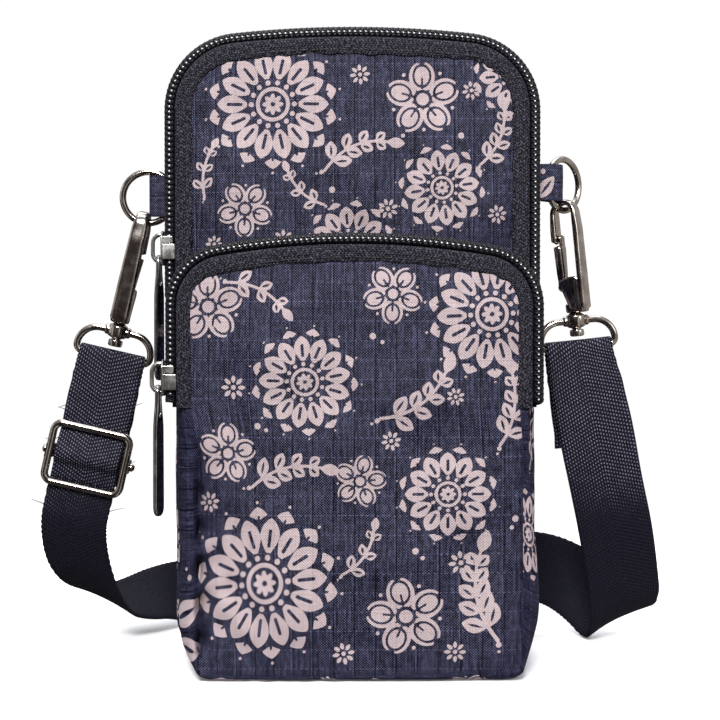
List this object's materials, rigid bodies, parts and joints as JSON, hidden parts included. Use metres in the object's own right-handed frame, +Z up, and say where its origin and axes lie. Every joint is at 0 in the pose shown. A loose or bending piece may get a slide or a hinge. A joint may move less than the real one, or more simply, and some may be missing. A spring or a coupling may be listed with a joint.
{
  "type": "crossbody phone pouch",
  "caption": "Upright crossbody phone pouch with a zipped main compartment, a zipped front pocket, side ring tabs and a webbing strap on swivel hooks with a slide adjuster.",
  "frame": {"origin": "centre of the pouch's box on the floor, taken without the strap and its hooks", "axes": "+Z up, +X to the right seen from the front, the pocket faces -Y"},
  "size_m": [0.1872, 0.1288, 0.1843],
  "materials": {
    "print_cloth": "woven print, slight sheen",
    "plain_cloth": "ripstop weave",
    "lining_cloth": "smooth lining",
    "zip_tape": "knitted tape",
    "zip_row": "satin monofilament",
    "slider_metal": "nickel plate",
    "pull_metal": "dark gunmetal plate",
    "nickel": "nickel plate",
    "spring_steel": "drawn wire",
    "webbing": "herringbone webbing"
  },
  "bodies": {
    "pouch": {"back_panel": "print_cloth", "main_gusset": "plain_cloth", "top_gusset": "plain_cloth", "main_front_panel": "print_cloth", "main_lining": "lining_cloth", "pocket_gusset": "plain_cloth", "pocket_front_panel": "print_cloth", "pocket_lining": "lining_cloth", "main_zip_tape_rear": "zip_tape", "main_zip_coil_rear": "zip_row", "main_zip_tape_ends": "zip_tape", "main_zip_coil_ends": "zip_row", "pocket_zip_tape_rear": "zip_tape", "pocket_zip_coil_rear": "zip_row", "pocket_zip_tape_ends": "zip_tape", "pocket_zip_coil_ends": "zip_row", "left_tab": "print_cloth", "right_tab": "print_cloth", "left_swivel_post": "nickel", "right_swivel_post": "nickel", "left_d_ring": "nickel", "right_d_ring": "nickel", "strap_left_loop": "webbing", "strap_right_loop": "webbing", "strap_left_leg": "webbing", "strap_right_leg": "webbing", "strap_roll": "webbing"},
    "main_flap": {"main_flap_panel": "print_cloth", "main_zip_tape_front": "zip_tape", "main_zip_coil_front": "zip_row"},
    "pocket_flap": {"pocket_flap_panel": "print_cloth", "pocket_zip_tape_front": "zip_tape", "pocket_zip_coil_front": "zip_row"},
    "main_slider": {"main_zip_slider": "slider_metal", "main_zip_crown": "slider_metal"},
    "main_pull": {"main_zip_pull": "pull_metal"},
    "pocket_slider": {"pocket_zip_slider": "slider_metal", "pocket_zip_crown": "slider_metal"},
    "pocket_pull": {"pocket_zip_pull": "pull_metal"},
    "left_ring": {"left_o_ring": "nickel"},
    "right_ring": {"right_o_ring": "nickel"},
    "left_hook": {"left_hook_body": "nickel", "left_gate_pin": "nickel", "left_gate_spring": "spring_steel"},
    "left_gate": {"left_hook_gate": "nickel"},
    "right_hook": {"right_hook_body": "nickel", "right_gate_pin": "nickel", "right_gate_spring": "spring_steel"},
    "right_gate": {"right_hook_gate": "nickel"},
    "adjuster": {"adjuster_frame": "nickel", "adjuster_bar": "nickel"}
  },
  "joints": [
    {"name": "main_flap_fold", "type": "hinge", "parent": "pouch", "child": "main_flap", "pos_m": [0, -0.0052, 0.1265], "axis": [1, 0, 0], "range_deg": [0, 85]},
    {"name": "pocket_flap_fold", "type": "hinge", "parent": "pouch", "child": "pocket_flap", "pos_m": [0, -0.026, 0.0901], "axis": [1, 0, 0], "range_deg": [0, 60]},
    {"name": "main_zip_run", "type": "slide", "parent": "pouch", "child": "main_slider", "axis": [0, 0, 1], "range_m": [0, 0.033]},
    {"name": "main_pull_swing", "type": "hinge", "parent": "main_slider", "child": "main_pull", "pos_m": [-0.0569, -0.001, 0.118], "axis": [0, 1, 0], "range_deg": [0, 130]},
    {"name": "pocket_zip_run", "type": "slide", "parent": "pouch", "child": "pocket_slider", "axis": [0, 0, 1], "range_m": [0, 0.014]},
    {"name": "pocket_pull_swing", "type": "hinge", "parent": "pocket_slider", "child": "pocket_pull", "pos_m": [-0.0543, -0.0218, 0.081], "axis": [0, 1, 0], "range_deg": [0, 130]},
    {"name": "left_ring_turn", "type": "hinge", "parent": "pouch", "child": "left_ring", "pos_m": [-0.06185, 0.012, 0.1365], "axis": [0, 1, 0], "continuous": true},
    {"name": "right_ring_turn", "type": "hinge", "parent": "pouch", "child": "right_ring", "pos_m": [0.06267, 0.01432, 0.1405], "axis": [-0.7071, 0.7071, 0], "continuous": true},
    {"name": "left_hook_swivel", "type": "hinge", "parent": "pouch", "child": "left_hook", "pos_m": [-0.07054, 0.012, 0.09884], "axis": [0.225, 0, 0.9744], "range_deg": [-20, 20]},
    {"name": "left_gate_press", "type": "hinge", "parent": "left_hook", "child": "left_gate", "pos_m": [-0.06875, 0.0144, 0.10664], "axis": [0.9744, 0, -0.225], "range_deg": [0, 13], "stiffness_Nm_per_rad": 0.02, "springref_deg": -8.59},
    {"name": "right_hook_swivel", "type": "hinge", "parent": "pouch", "child": "right_hook", "pos_m": [0.06638, 0.0148, 0.10205], "axis": [-0.1045, 0, 0.9945], "range_deg": [-32, 8]},
    {"name": "right_gate_press", "type": "hinge", "parent": "right_hook", "child": "right_gate", "pos_m": [0.06355, 0.0161, 0.1098], "axis": [0.5417, 0.8387, 0.0569], "range_deg": [0, 13], "stiffness_Nm_per_rad": 0.02, "springref_deg": -8.59},
    {"name": "adjuster_run", "type": "slide", "parent": "pouch", "child": "adjuster", "axis": [-0.225, 0, -0.9744], "range_m": [-0.01, 0.009]}
  ]
}
